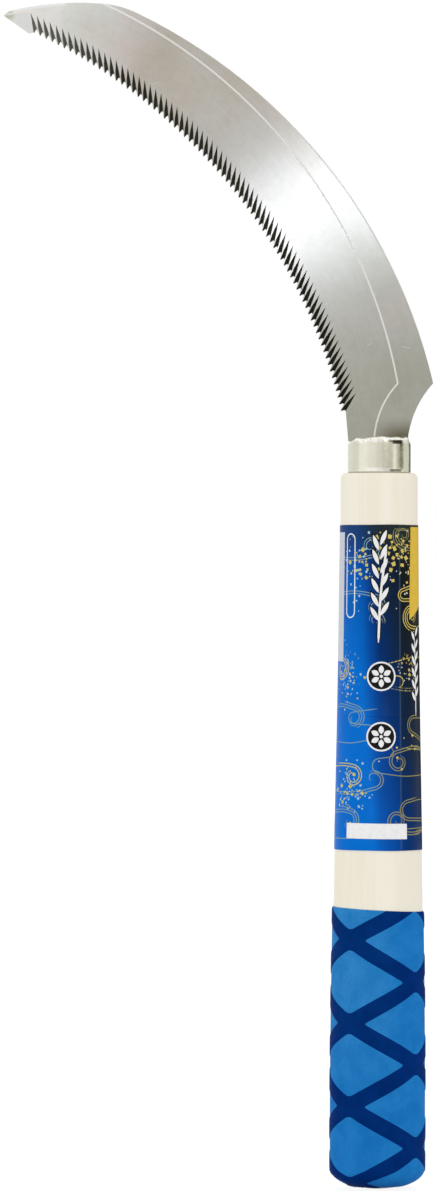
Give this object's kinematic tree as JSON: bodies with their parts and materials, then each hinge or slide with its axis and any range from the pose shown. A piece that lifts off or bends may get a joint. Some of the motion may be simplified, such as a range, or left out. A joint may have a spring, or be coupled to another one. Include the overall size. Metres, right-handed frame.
{
  "type": "serrated sickle",
  "caption": "Hand sickle with a curved saw-toothed steel blade in a ferruled turned wooden handle, with a printed film sleeve and a lattice grip sleeve.",
  "frame": {"origin": "centre of the flat in the middle of the handle's rounded butt", "axes": "+Z along the handle towards the blade, -X the way the blade hooks, -Y the face that carries the ground grooves"},
  "size_m": [0.1292, 0.029, 0.3551],
  "materials": {
    "blade_steel": "satin stainless sheet with bright ground grooves",
    "ferrule_chrome": "polished plated tube",
    "handle_wood": "pale sanded wood, unvarnished",
    "pin_steel": "plain drawn wire",
    "label_film": "glossy printed shrink film",
    "grip_plastic": "matte heat-shrunk sleeve, darker on its raised bands"
  },
  "bodies": {
    "root": {"blade": "blade_steel", "ferrule": "ferrule_chrome", "handle": "handle_wood", "tang_pin": "pin_steel", "label_sleeve": "label_film", "grip_sleeve": "grip_plastic"}
  },
  "joints": []
}
